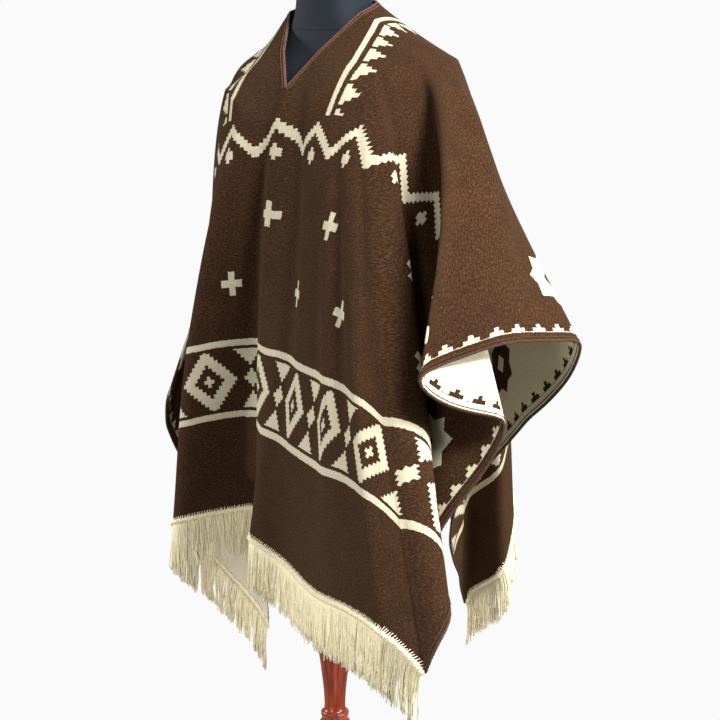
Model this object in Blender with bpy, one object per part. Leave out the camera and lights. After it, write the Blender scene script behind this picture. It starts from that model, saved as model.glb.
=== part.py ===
"""Wool poncho resting on a limbless dress form with a turned wooden stand.

Metres, +Z up. The origin is the centre of the stand's foot on the floor.
-Y is the wearer's front and +X is the wearer's left.

The poncho is one woven length with a V neck. Its drape is described by lines
that run over the flat cloth from the neck to the outer edge. Each line leaves
the shoulders at a yoke point and then hangs past a middle point to its end.
Heights below the yoke are not given: they follow from the length of cloth on
each line, so the hanging cloth keeps its flat size.
"""
import math
from collections import namedtuple

import bmesh
import bpy
import numpy as np
from mathutils import Vector
from mathutils.bvhtree import BVHTree

# Flat cloth
HALF_WIDTH = 0.73
HALF_LENGTH = 0.84
CLOTH_THICKNESS = 0.003
NECK_CENTRE_V = -0.04
NECK_FRONT_V = -0.19
NECK_BACK_V = 0.05
NECK_SIDE_U = 0.075

# Mesh density of the cloth wall
COLUMN_SPACING = 0.051
YOKE_RINGS = 5
HANG_RINGS = 12

# Clearance of the cloth's inner face from the form
FORM_GAP = 0.0030
SHOULDER_REACH = 0.30

# Fringe
HEADER_HEIGHT = 0.009
HEADER_THICKNESS = 0.003
HEM_GAP = 0.0009
FIRST_INSET = 0.15
LOCK_PITCH = 0.0175
LOCK_LENGTH = 0.062
LOCK_SHARE = 0.72
LOCK_TAPER = 0.6

# Form and stand
FORM_SIDES = 40
SQUARENESS = 0.85
TURNED_SIDES = 28
PART_GAP = 0.0003

FormSection = namedtuple("FormSection", "z half_width half_depth centre_y")
FORM_SECTIONS = [
    FormSection(0.700, 0.158, 0.108, 0.000),
    FormSection(0.712, 0.166, 0.114, 0.000),
    FormSection(0.800, 0.172, 0.118, 0.000),
    FormSection(0.890, 0.158, 0.111, 0.000),
    FormSection(0.980, 0.138, 0.102, 0.000),
    FormSection(1.100, 0.152, 0.110, -0.004),
    FormSection(1.200, 0.170, 0.119, -0.008),
    FormSection(1.268, 0.174, 0.113, -0.004),
    FormSection(1.302, 0.177, 0.101, 0.002),
    FormSection(1.330, 0.168, 0.087, 0.008),
    FormSection(1.350, 0.144, 0.075, 0.012),
    FormSection(1.370, 0.109, 0.066, 0.012),
    FormSection(1.391, 0.077, 0.060, 0.009),
    FormSection(1.415, 0.060, 0.056, 0.005),
    FormSection(1.450, 0.053, 0.053, 0.001),
    FormSection(1.510, 0.051, 0.051, -0.004),
    FormSection(1.522, 0.045, 0.045, -0.005),
]

# Where the cut neck edge lies on the form, from the front point to the back
NeckRow = namedtuple("NeckRow", "flat_v y z")
NECK_ROWS = [
    NeckRow(-0.190, -0.112, 1.310),
    NeckRow(-0.115, -0.076, 1.362),
    NeckRow(-0.040, -0.020, 1.418),
    NeckRow(0.010, 0.034, 1.432),
    NeckRow(0.050, 0.068, 1.436),
]
NECK_SPREAD = 0.90

# One row for each drape line, in order round the cloth's edge from the middle
# of the front hem towards the wearer's left. end_u and end_v are flat.
DrapeLine = namedtuple(
    "DrapeLine", "name end_u end_v yoke_x yoke_y yoke_z mid_x mid_y end_x end_y stretch")
DRAPE_LINES = [
    DrapeLine("front_centre", 0.00, -0.84, 0.000, -0.130, 1.265, -0.012, -0.160, -0.010, -0.178, 1.01),
    DrapeLine("near_ridge", 0.08, -0.84, 0.042, -0.130, 1.270, 0.056, -0.186, 0.043, -0.242, 1.02),
    DrapeLine("near_panel", 0.26, -0.84, 0.060, -0.130, 1.290, 0.125, -0.222, 0.142, -0.278, 1.01),
    DrapeLine("far_panel", 0.50, -0.84, 0.100, -0.125, 1.310, 0.222, -0.272, 0.375, -0.445, 1.00),
    DrapeLine("front_corner", 0.73, -0.84, 0.130, -0.112, 1.325, 0.314, -0.300, 0.551, -0.512, 1.00),
    DrapeLine("panel_side", 0.73, -0.755, 0.144, -0.104, 1.330, 0.338, -0.256, 0.552, -0.463, 1.00),
    DrapeLine("side_valley", 0.73, -0.6, 0.162, -0.088, 1.338, 0.306, -0.200, 0.455, -0.371, 1.00),
    DrapeLine("sleeve_valley", 0.73, -0.39, 0.182, -0.055, 1.350, 0.340, -0.146, 0.514, -0.291, 1.00),
    DrapeLine("sleeve_ridge", 0.73, -0.235, 0.191, -0.030, 1.355, 0.346, -0.196, 0.413, -0.338, 1.02),
    DrapeLine("sleeve_front", 0.73, -0.11, 0.196, -0.003, 1.357, 0.366, -0.106, 0.479, -0.239, 1.00),
    DrapeLine("left_tip", 0.73, 0.02, 0.198, 0.020, 1.357, 0.345, -0.035, 0.514, -0.111, 1.00),
    DrapeLine("left_back_edge", 0.73, 0.28, 0.190, 0.055, 1.350, 0.270, 0.045, 0.326, 0.007, 1.00),
    DrapeLine("left_back_valley", 0.73, 0.54, 0.170, 0.085, 1.340, 0.180, 0.122, 0.150, 0.115, 1.01),
    DrapeLine("back_left_corner", 0.73, 0.84, 0.140, 0.110, 1.325, 0.114, 0.194, 0.039, 0.308, 1.03),
    DrapeLine("back_left_ridge", 0.57, 0.84, 0.120, 0.122, 1.315, 0.166, 0.198, 0.135, 0.284, 1.02),
    DrapeLine("back_outer_1", 0.40, 0.84, 0.085, 0.128, 1.305, 0.105, 0.262, 0.075, 0.375, 1.00),
    DrapeLine("back_valley_2", 0.20, 0.84, 0.045, 0.132, 1.300, 0.020, 0.195, -0.010, 0.270, 1.00),
    DrapeLine("back_ridge_2", 0.02, 0.84, 0.005, 0.134, 1.298, -0.045, 0.250, -0.090, 0.360, 1.00),
    DrapeLine("back_valley_3", -0.18, 0.84, -0.045, 0.132, 1.300, -0.110, 0.200, -0.175, 0.275, 1.00),
    DrapeLine("back_ridge_3", -0.38, 0.84, -0.085, 0.128, 1.305, -0.185, 0.255, -0.275, 0.370, 1.00),
    DrapeLine("back_right_corner", -0.73, 0.84, -0.140, 0.110, 1.325, -0.300, 0.270, -0.450, 0.400, 1.00),
    DrapeLine("right_back_valley", -0.73, 0.54, -0.158, 0.085, 1.315, -0.225, 0.160, -0.330, 0.230, 1.00),
    DrapeLine("right_back_ridge", -0.73, 0.28, -0.175, 0.055, 1.312, -0.275, 0.125, -0.430, 0.190, 1.00),
    DrapeLine("right_valley", -0.73, 0.03, -0.182, 0.018, 1.312, -0.245, 0.058, -0.345, 0.085, 1.00),
    DrapeLine("right_tip", -0.73, -0.22, -0.180, -0.022, 1.308, -0.238, -0.010, -0.278, -0.084, 1.00),
    DrapeLine("right_low_edge", -0.73, -0.44, -0.168, -0.055, 1.300, -0.228, -0.035, -0.290, -0.045, 1.00),
    DrapeLine("right_side_edge", -0.73, -0.62, -0.150, -0.075, 1.298, -0.214, -0.030, -0.296, 0.080, 1.00),
    DrapeLine("far_front_corner", -0.73, -0.84, -0.132, -0.092, 1.298, -0.180, -0.044, -0.213, 0.083, 1.05),
    DrapeLine("far_front_inner", -0.53, -0.84, -0.108, -0.108, 1.288, -0.196, -0.080, -0.251, -0.002, 1.03),
    DrapeLine("far_front_turn", -0.40, -0.84, -0.088, -0.118, 1.280, -0.178, -0.122, -0.250, -0.086, 1.02),
    DrapeLine("far_front_ridge", -0.27, -0.84, -0.065, -0.128, 1.265, -0.142, -0.152, -0.196, -0.141, 1.01),
    DrapeLine("front_valley", -0.12, -0.84, -0.025, -0.130, 1.260, -0.072, -0.126, -0.085, -0.095, 1.00),
]

# Turned outlines, radius against height
TurnedRow = namedtuple("TurnedRow", "radius z")
BASE_ROWS = [
    TurnedRow(0.184, 0.000),
    TurnedRow(0.190, 0.004),
    TurnedRow(0.190, 0.018),
    TurnedRow(0.182, 0.024),
    TurnedRow(0.172, 0.026),
    TurnedRow(0.150, 0.031),
    TurnedRow(0.110, 0.038),
    TurnedRow(0.070, 0.047),
    TurnedRow(0.050, 0.058),
    TurnedRow(0.044, 0.070),
]
POST_ROWS = [
    TurnedRow(0.040, 0.070),
    TurnedRow(0.041, 0.078),
    TurnedRow(0.034, 0.084),
    TurnedRow(0.024, 0.096),
    TurnedRow(0.020, 0.112),
    TurnedRow(0.024, 0.135),
    TurnedRow(0.032, 0.165),
    TurnedRow(0.037, 0.200),
    TurnedRow(0.037, 0.235),
    TurnedRow(0.033, 0.268),
    TurnedRow(0.027, 0.286),
    TurnedRow(0.021, 0.296),
    TurnedRow(0.022, 0.302),
    TurnedRow(0.022, 0.308),
    TurnedRow(0.017, 0.314),
    TurnedRow(0.018, 0.345),
    TurnedRow(0.022, 0.380),
    TurnedRow(0.026, 0.412),
    TurnedRow(0.0275, 0.440),
    TurnedRow(0.027, 0.480),
    TurnedRow(0.024, 0.540),
    TurnedRow(0.020, 0.600),
    TurnedRow(0.018, 0.640),
    TurnedRow(0.026, 0.652),
    TurnedRow(0.027, 0.660),
    TurnedRow(0.021, 0.668),
    TurnedRow(0.040, 0.680),
    TurnedRow(0.060, 0.688),
]

PERIMETER = 4 * (HALF_WIDTH + HALF_LENGTH)


def material(name, colour, roughness):
    """A plain finish in the piece's main colour."""
    made = bpy.data.materials.new(name)
    made.use_nodes = True
    shader = made.node_tree.nodes["Principled BSDF"]
    shader.inputs["Base Color"].default_value = (*colour, 1.0)
    shader.inputs["Roughness"].default_value = roughness
    return made


def add_object(name, vertices, faces, finish):
    """Put one closed mesh into the scene under its piece's name."""
    mesh = bpy.data.meshes.new(name)
    mesh.from_pydata([tuple(float(c) for c in v) for v in vertices], [], faces)
    work = bmesh.new()
    work.from_mesh(mesh)
    bmesh.ops.recalc_face_normals(work, faces=work.faces)
    work.to_mesh(mesh)
    work.free()
    mesh.materials.append(finish)
    mesh.shade_smooth()
    mesh.set_sharp_from_angle(angle=math.radians(50))
    made = bpy.data.objects.new(name, mesh)
    bpy.context.scene.collection.objects.link(made)
    return made


def stacked_rings(rings):
    """Vertices and faces of a closed stack of equal rings, capped at both ends."""
    count = len(rings[0])
    vertices = [point for ring in rings for point in ring]
    faces = []
    for level in range(len(rings) - 1):
        low, high = level * count, (level + 1) * count
        for i in range(count):
            j = (i + 1) % count
            faces.append((low + i, low + j, high + j, high + i))
    faces.append(tuple(reversed(range(count))))
    top = (len(rings) - 1) * count
    faces.append(tuple(top + i for i in range(count)))
    return vertices, faces


def form_ring(section):
    """A rounded outline with slightly square sides, as a padded form has."""
    ring = []
    for i in range(FORM_SIDES):
        angle = 2 * math.pi * i / FORM_SIDES
        c, s = math.cos(angle), math.sin(angle)
        x = section.half_width * math.copysign(abs(c) ** SQUARENESS, c)
        y = section.centre_y + section.half_depth * math.copysign(abs(s) ** SQUARENESS, s)
        ring.append((x, y, section.z))
    return ring


def turned_ring(row, lift=0.0):
    """One circle of a turned piece."""
    return [
        (row.radius * math.cos(2 * math.pi * i / TURNED_SIDES),
         row.radius * math.sin(2 * math.pi * i / TURNED_SIDES),
         row.z + lift)
        for i in range(TURNED_SIDES)]


def closed_curve(stations, values, period, wanted):
    """A smooth closed curve through rows of values, read at the wanted places."""
    count = len(stations)
    slopes = []
    for i in range(count):
        before, after = (i - 1) % count, (i + 1) % count
        span = (stations[after] - stations[before]) % period
        slopes.append((values[after] - values[before]) / span)
    result = []
    for place in wanted:
        i = max(k for k in range(count) if stations[k] <= place + 1e-9)
        j = (i + 1) % count
        span = (stations[j] - stations[i]) % period
        x = (place - stations[i]) / span
        result.append(
            (2 * x**3 - 3 * x**2 + 1) * values[i] + (x**3 - 2 * x**2 + x) * span * slopes[i]
            + (3 * x**2 - 2 * x**3) * values[j] + (x**3 - x**2) * span * slopes[j])
    return np.array(result)


def perimeter_place(u, v):
    """Distance round the flat cloth's edge, from the middle of the front hem."""
    if v <= -HALF_LENGTH and u >= 0:
        return u
    if u >= HALF_WIDTH:
        return HALF_WIDTH + HALF_LENGTH + v
    if v >= HALF_LENGTH:
        return 2 * HALF_WIDTH + 2 * HALF_LENGTH - u
    if u <= -HALF_WIDTH:
        return 3 * HALF_WIDTH + 3 * HALF_LENGTH - v
    return PERIMETER + u


def perimeter_point(place):
    """The flat cloth's edge point at a distance round its edge."""
    corner_1 = HALF_WIDTH
    corner_2 = corner_1 + 2 * HALF_LENGTH
    corner_3 = corner_2 + 2 * HALF_WIDTH
    corner_4 = corner_3 + 2 * HALF_LENGTH
    if place <= corner_1:
        return place, -HALF_LENGTH
    if place <= corner_2:
        return HALF_WIDTH, place - corner_1 - HALF_LENGTH
    if place <= corner_3:
        return HALF_WIDTH - (place - corner_2), HALF_LENGTH
    if place <= corner_4:
        return -HALF_WIDTH, HALF_LENGTH - (place - corner_3)
    return place - PERIMETER, -HALF_LENGTH


def column_places():
    """Where the mesh columns meet the cloth's edge: each drape line, and evenly between."""
    lines = [perimeter_place(line.end_u, line.end_v) for line in DRAPE_LINES]
    places = []
    for i, start in enumerate(lines):
        end = lines[i + 1] if i + 1 < len(lines) else PERIMETER
        steps = max(1, round((end - start) / COLUMN_SPACING))
        places += [start + (end - start) * k / steps for k in range(steps)]
    return lines, places


def neck_edge(u, v):
    """Flat point of the cut neck edge on the way from the neck's centre to (u, v)."""
    du, dv = u, v - NECK_CENTRE_V
    reach = math.hypot(du, dv)
    du, dv = du / reach, dv / reach
    if dv < 0:
        radius = 1.0 / (abs(du) / NECK_SIDE_U + abs(dv) / (NECK_CENTRE_V - NECK_FRONT_V))
    else:
        radius = 1.0 / math.hypot(du / NECK_SIDE_U, dv / (NECK_BACK_V - NECK_CENTRE_V))
    return radius * du, NECK_CENTRE_V + radius * dv


def neck_on_form(u, v):
    """Where a flat point of the neck edge lies on the form."""
    rows = NECK_ROWS
    flat = [row.flat_v for row in rows]
    y = np.interp(v, flat, [row.y for row in rows])
    z = np.interp(v, flat, [row.z for row in rows])
    return np.array([u * NECK_SPREAD, y, z])


def clear_of_form(point, form_tree, need):
    """The point, moved straight out of the form until it is clear of it."""
    near, normal, _, _ = form_tree.find_nearest(Vector(point))
    depth = (Vector(point) - near).dot(normal)
    if depth >= need:
        return point
    return np.array(near + normal * need)


def hang_point(yoke, mid, end, start_slope, x):
    """Smooth curve through yoke, mid and end, at x from 0 to 1."""
    if x <= 0.5:
        a, b, t = yoke, mid, 2 * x
        slope_a, slope_b = start_slope, (end - yoke) / 2
    else:
        a, b, t = mid, end, 2 * x - 1
        slope_a, slope_b = (end - yoke) / 2, end - mid
    return (
        (2 * t**3 - 3 * t**2 + 1) * a + (t**3 - 2 * t**2 + t) * slope_a
        + (3 * t**2 - 2 * t**3) * b + (t**3 - t**2) * slope_b)


def draped_column(place, yoke, mid_xy, end_xy, stretch, form_tree):
    """Points of one column of the cloth's middle layer, from the neck to its edge."""
    need = FORM_GAP + CLOTH_THICKNESS / 2
    edge_u, edge_v = perimeter_point(place)
    neck_u, neck_v = neck_edge(edge_u, edge_v)
    neck = clear_of_form(neck_on_form(neck_u, neck_v), form_tree, need)
    points = [neck]
    for k in range(1, YOKE_RINGS + 1):
        between = neck + (yoke - neck) * k / YOKE_RINGS
        points.append(clear_of_form(between, form_tree, need))
    used = sum(np.linalg.norm(b - a) for a, b in zip(points, points[1:]))
    half_left = (stretch * math.hypot(edge_u - neck_u, edge_v - neck_v) - used) / 2
    top = points[-1]
    span_1 = math.hypot(*(mid_xy - top[:2]))
    mid = np.array([*mid_xy, top[2] - math.sqrt(half_left**2 - span_1**2)])
    span_2 = math.hypot(*(end_xy - mid_xy))
    end = np.array([*end_xy, mid[2] - math.sqrt(half_left**2 - span_2**2)])
    last = points[-1] - points[-2]
    outward = last / np.linalg.norm(last) * half_left
    start_slope = outward * SHOULDER_REACH + (mid - top) * (1 - SHOULDER_REACH)
    for k in range(1, HANG_RINGS + 1):
        hung = hang_point(top, mid, end, start_slope, k / HANG_RINGS)
        points.append(clear_of_form(hung, form_tree, need))
    return points


def draped_grid(form_tree):
    """Middle layer of the cloth as grid[column][ring], and the columns' edge places."""
    lines, places = column_places()
    rows = np.array([
        (l.yoke_x, l.yoke_y, l.yoke_z, l.mid_x, l.mid_y, l.end_x, l.end_y, l.stretch)
        for l in DRAPE_LINES])
    guides = closed_curve(lines, rows, PERIMETER, places)
    grid = np.array([
        draped_column(place, g[0:3], g[3:5], g[5:7], g[7], form_tree)
        for place, g in zip(places, guides)])
    return grid, places


def grid_normals(grid):
    """Outward normals of the draped middle layer, halfway between both sides of a crease."""
    down_way = np.empty_like(grid)
    down_way[:, 1:-1] = grid[:, 2:] - grid[:, :-2]
    down_way[:, 0] = grid[:, 1] - grid[:, 0]
    down_way[:, -1] = grid[:, -1] - grid[:, -2]
    behind = np.cross(grid - np.roll(grid, 1, axis=0), -down_way)
    ahead = np.cross(np.roll(grid, -1, axis=0) - grid, -down_way)
    behind /= np.linalg.norm(behind, axis=2, keepdims=True)
    ahead /= np.linalg.norm(ahead, axis=2, keepdims=True)
    normals = behind + ahead
    return normals / np.linalg.norm(normals, axis=2, keepdims=True)


def cloth_wall(grid, normals):
    """A closed wall of even thickness on both sides of the middle layer."""
    columns, rings, _ = grid.shape
    half = CLOTH_THICKNESS / 2
    outer = (grid + normals * half).reshape(-1, 3)
    inner = (grid - normals * half).reshape(-1, 3)
    count = columns * rings
    faces = []
    for c in range(columns):
        d = (c + 1) % columns
        for r in range(rings - 1):
            corners = (c * rings + r, d * rings + r, d * rings + r + 1, c * rings + r + 1)
            faces.append(tuple(reversed(corners)))
            faces.append(tuple(count + k for k in corners))
        for r in (0, rings - 1):
            faces.append((c * rings + r, d * rings + r, count + d * rings + r, count + c * rings + r))
    return np.vstack([outer, inner]), faces


def hem_span(places, start, end):
    """Column numbers along one hem, corner to corner, in order."""
    found = [i for i, place in enumerate(places) if start - 1e-6 <= place <= end + 1e-6]
    return found


def fringe_strip(grid, normals, columns):
    """A header strip below one hem with tapering locks that hang straight down."""
    hem = grid[columns, -1]
    side = normals[columns, -1]
    along = np.gradient(hem, axis=0)
    down = np.cross(along, side)
    down /= np.linalg.norm(down, axis=1, keepdims=True)
    cuts = []
    for i in range(len(columns) - 1):
        width = np.linalg.norm(hem[i + 1] - hem[i])
        locks = max(1, round(width / LOCK_PITCH))
        for k in range(locks):
            cuts.append((i, k / locks, False))
            cuts.append((i, (k + LOCK_SHARE) / locks, True))
    cuts[0] = (0, FIRST_INSET, False)
    cuts.append((len(columns) - 2, 1.0, False))
    vertices, faces = [], []
    for i, share, _ in cuts:
        at = hem[i] * (1 - share) + hem[i + 1] * share
        out = (side[i] * (1 - share) + side[i + 1] * share) * HEADER_THICKNESS / 2
        drop = down[i] * (1 - share) + down[i + 1] * share
        top, low = at + drop * HEM_GAP, at + drop * (HEM_GAP + HEADER_HEIGHT)
        vertices += [top + out, low + out, low - out, top - out]
    last = len(cuts) - 1
    faces.append((0, 1, 2, 3))
    faces.append((4 * last + 3, 4 * last + 2, 4 * last + 1, 4 * last))
    for n in range(last):
        a, b = 4 * n, 4 * (n + 1)
        for k in (0, 2, 3):
            j = (k + 1) % 4
            faces.append((a + k, b + k, b + j, a + j))
        bottom = (a + 1, b + 1, b + 2, a + 2)
        if cuts[n][2]:
            faces.append(bottom)
            continue
        centre = sum(vertices[k] for k in bottom) / 4
        length = LOCK_LENGTH - HEADER_HEIGHT + 0.004 * math.sin(1.7 * n)
        tips = []
        for k in bottom:
            tips.append(len(vertices))
            vertices.append(centre + (vertices[k] - centre) * LOCK_TAPER - np.array([0, 0, length]))
        for k in range(4):
            j = (k + 1) % 4
            faces.append((bottom[k], bottom[j], tips[j], tips[k]))
        faces.append(tuple(tips))
    return vertices, faces


def build():
    """Clear the scene and build every piece."""
    for old in list(bpy.data.objects):
        bpy.data.objects.remove(old)

    brown_wool = material("brown_wool", (0.045, 0.022, 0.013), 0.9)
    cream_yarn = material("cream_yarn", (0.75, 0.68, 0.45), 0.85)
    black_jersey = material("black_jersey", (0.018, 0.022, 0.032), 0.8)
    red_wood = material("red_wood", (0.20, 0.035, 0.012), 0.3)

    form = add_object("form_torso", *stacked_rings([form_ring(s) for s in FORM_SECTIONS]), black_jersey)
    shape = bmesh.new()
    shape.from_mesh(form.data)
    form_tree = BVHTree.FromBMesh(shape)
    shape.free()

    add_object("stand_base", *stacked_rings([turned_ring(r) for r in BASE_ROWS]), red_wood)
    post_lift = PART_GAP
    post = [turned_ring(r, post_lift) for r in POST_ROWS]
    collar = TurnedRow(POST_ROWS[-1].radius, FORM_SECTIONS[0].z - PART_GAP)
    post.append(turned_ring(collar))
    add_object("stand_post", *stacked_rings(post), red_wood)

    grid, places = draped_grid(form_tree)
    normals = grid_normals(grid)
    add_object("poncho_body", *cloth_wall(grid, normals), brown_wool)

    front = hem_span(places, PERIMETER - HALF_WIDTH, PERIMETER) + hem_span(places, 0.0, HALF_WIDTH)
    back_start = HALF_WIDTH + 2 * HALF_LENGTH
    back = hem_span(places, back_start, back_start + 2 * HALF_WIDTH)
    add_object("front_fringe", *fringe_strip(grid, normals, front), cream_yarn)
    add_object("back_fringe", *fringe_strip(grid, normals, back), cream_yarn)


build()
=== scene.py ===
# %% [markdown]
# # A wool poncho on a dress form
# The real object is one woven length of double-faced brushed wool, brown
# outside and cream inside, with a V neck and a knotted yarn fringe on its two
# hems. It rests on a dark jersey dress form that stands on a turned and
# polished wooden post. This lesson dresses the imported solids: it loads them,
# lays a finer cloth on the same drape, and gives each surface its finish.

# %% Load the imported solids
import math
from collections import namedtuple

import bpy
import numpy as np
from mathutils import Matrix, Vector
from mathutils.bvhtree import BVHTree


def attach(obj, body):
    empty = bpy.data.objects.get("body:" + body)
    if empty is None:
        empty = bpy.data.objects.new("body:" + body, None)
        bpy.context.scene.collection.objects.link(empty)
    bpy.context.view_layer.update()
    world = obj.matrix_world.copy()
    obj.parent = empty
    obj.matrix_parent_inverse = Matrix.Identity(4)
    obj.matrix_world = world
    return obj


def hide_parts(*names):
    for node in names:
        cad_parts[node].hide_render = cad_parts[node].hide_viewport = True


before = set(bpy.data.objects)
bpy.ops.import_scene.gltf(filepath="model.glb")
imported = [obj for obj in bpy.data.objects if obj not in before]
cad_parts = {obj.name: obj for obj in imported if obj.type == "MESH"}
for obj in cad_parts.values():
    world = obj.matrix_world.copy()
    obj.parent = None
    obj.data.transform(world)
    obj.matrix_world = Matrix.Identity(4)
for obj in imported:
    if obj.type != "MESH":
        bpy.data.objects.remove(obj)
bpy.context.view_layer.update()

rng = np.random.default_rng(11)

# %% [markdown]
# ## Camera, light and floor
# The camera stands a little above the shoulders, to the front and to the
# wearer's left. A long lens keeps the form's verticals nearly parallel. In the
# photograph the strongest light falls from above on the sleeve, a weaker one
# comes from the left, and the room behind is white. So one area light is the
# key, weaker ones stand round it, and the world is brighter to the camera than
# it is to the cloth, which keeps the folds deep against a white background.

# %% Camera
VIEW_TURN = math.radians(38)
VIEW_RAISE = math.radians(11)
VIEW_DISTANCE = 3.0
VIEW_HEIGHT = 0.885
VIEW_ASIDE = 0.0405
LENS = 96.2
SENSOR_WIDTH = 36

right_way = Vector((math.cos(VIEW_TURN), math.sin(VIEW_TURN), 0))
toward_camera = Vector((
    math.sin(VIEW_TURN) * math.cos(VIEW_RAISE),
    -math.cos(VIEW_TURN) * math.cos(VIEW_RAISE),
    math.sin(VIEW_RAISE)))
aim = right_way * VIEW_ASIDE + Vector((0, 0, VIEW_HEIGHT))
camera = bpy.data.objects.new("camera", bpy.data.cameras.new("camera"))
camera.data.lens = LENS
camera.data.sensor_width = SENSOR_WIDTH
camera.location = aim + toward_camera * VIEW_DISTANCE
camera.rotation_euler = toward_camera.to_track_quat("Z", "Y").to_euler()
bpy.context.scene.collection.objects.link(camera)
bpy.context.scene.camera = camera
print("camera at", [round(c, 3) for c in camera.location])


# %% Lights
AreaLight = namedtuple("AreaLight", "name place size power target")
AREA_LIGHTS = [
    AreaLight("key_light", (1.8, -0.35, 2.6), 0.8, 140, (0.2, 0, 1.0)),
    AreaLight("left_light", (-2.5, -1.25, 1.4), 0.6, 74, (0, 0, 0.9)),
    AreaLight("front_light", (0.4, -2.7, 1.3), 0.9, 21, (0, 0, 0.9)),
    AreaLight("side_light", (2.8, 0.5, 0.8), 1.6, 78, (0, 0, 0.7)),
    AreaLight("back_light", (-1.4, 2.2, 1.8), 1.4, 30, (0, 0, 0.9)),
    AreaLight("low_light", (0.2, -2.4, 0.3), 1.2, 8, (0, 0, 0.6)),
]
for row in AREA_LIGHTS:
    lamp = bpy.data.lights.new(row.name, "AREA")
    lamp.size = row.size
    lamp.energy = row.power
    light = bpy.data.objects.new(row.name, lamp)
    light.location = row.place
    away = Vector(row.place) - Vector(row.target)
    light.rotation_euler = away.to_track_quat("Z", "Y").to_euler()
    bpy.context.scene.collection.objects.link(light)
print(len(AREA_LIGHTS), "area lights")

# %% A white room that lights the cloth only softly
BACKDROP_LIGHT = 0.955
ROOM_LIGHT = 0.22
world = bpy.data.worlds.new("pale_room")
world.use_nodes = True
world_nodes, world_links = world.node_tree.nodes, world.node_tree.links
seen = world_nodes.new("ShaderNodeLightPath")
world_light = world_nodes.new("ShaderNodeMapRange")
world_light.inputs["To Min"].default_value = ROOM_LIGHT
world_light.inputs["To Max"].default_value = BACKDROP_LIGHT
world_links.new(seen.outputs["Is Camera Ray"], world_light.inputs["Value"])
world_links.new(world_light.outputs["Result"], world_nodes["Background"].inputs["Strength"])
world_nodes["Background"].inputs["Color"].default_value = (1.0, 1.0, 1.0, 1)
bpy.context.scene.world = world
bpy.context.scene.view_settings.view_transform = "Standard"
print("room light", ROOM_LIGHT)


# %% Floor
def flat_object(name, vertices, faces):
    """A new mesh object from plain lists or arrays."""
    mesh = bpy.data.meshes.new(name)
    mesh.from_pydata(np.asarray(vertices).tolist(), [], faces)
    mesh.update()
    made = bpy.data.objects.new(name, mesh)
    bpy.context.scene.collection.objects.link(made)
    return made


def set_inputs(node, **values):
    """Set a node's sockets by name, with _ for each space."""
    for socket_name, value in values.items():
        node.inputs[socket_name.replace("_", " ")].default_value = value


FLOOR_RADIUS = 0.75
FLOOR_FADE_FROM = 0.28
FLOOR_SIDES = 64
floor_ring = []
for k in range(FLOOR_SIDES):
    angle = 2 * math.pi * k / FLOOR_SIDES
    floor_ring.append((FLOOR_RADIUS * math.cos(angle), FLOOR_RADIUS * math.sin(angle), 0))
floor = flat_object("floor", floor_ring, [tuple(range(FLOOR_SIDES))])
floor_paint = bpy.data.materials.new("floor_paint")
floor_paint.use_nodes = True
floor_nodes, floor_links = floor_paint.node_tree.nodes, floor_paint.node_tree.links
floor_shader = floor_nodes["Principled BSDF"]
set_inputs(floor_shader, Base_Color=(0.48, 0.48, 0.49, 1), Roughness=0.7)
floor_place = floor_nodes.new("ShaderNodeTexCoord")
floor_reach = floor_nodes.new("ShaderNodeVectorMath")
floor_reach.operation = "LENGTH"
floor_fade = floor_nodes.new("ShaderNodeMapRange")
floor_fade.interpolation_type = "SMOOTHSTEP"
set_inputs(floor_fade, From_Min=FLOOR_FADE_FROM, From_Max=FLOOR_RADIUS, To_Min=1.0, To_Max=0.0)
floor_links.new(floor_place.outputs["Object"], floor_reach.inputs[0])
floor_links.new(floor_reach.outputs["Value"], floor_fade.inputs["Value"])
floor_links.new(floor_fade.outputs["Result"], floor_shader.inputs["Alpha"])
floor.data.materials.append(floor_paint)
print("floor radius", FLOOR_RADIUS)

# %% [markdown]
# ## The drape
# Cloth that hangs keeps its flat size: a point on the hem is exactly as far
# down as the cloth between it and the shoulder allows. So the drape is a
# short table. Each row is one line over the flat cloth, from the neck to the
# outer edge, with the place where it leaves the shoulders, a middle point, an
# end, and how far soft wool gives there: 1.02 is two percent past its flat
# length. Heights are worked out from the length of cloth. The CAD solid was
# made from the same table, and here the same lines carry a finer mesh.

# %% Sizes of the flat cloth, in metres
HALF_WIDTH = 0.73
HALF_LENGTH = 0.84
CLOTH_THICKNESS = 0.003
NECK_CENTRE_V = -0.04
NECK_FRONT_V = -0.19
NECK_BACK_V = 0.05
NECK_SIDE_U = 0.075
NECK_SPREAD = 0.90
FORM_GAP = 0.0020
SHOULDER_REACH = 0.30
PERIMETER = 4 * (HALF_WIDTH + HALF_LENGTH)
CORNER_1 = HALF_WIDTH
CORNER_2 = CORNER_1 + 2 * HALF_LENGTH
CORNER_3 = CORNER_2 + 2 * HALF_WIDTH
CORNER_4 = CORNER_3 + 2 * HALF_LENGTH
COLUMN_SPACING = 0.0150
YOKE_RINGS = 26
HANG_RINGS = 84
print("flat cloth", 2 * HALF_WIDTH, "by", 2 * HALF_LENGTH)

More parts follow.
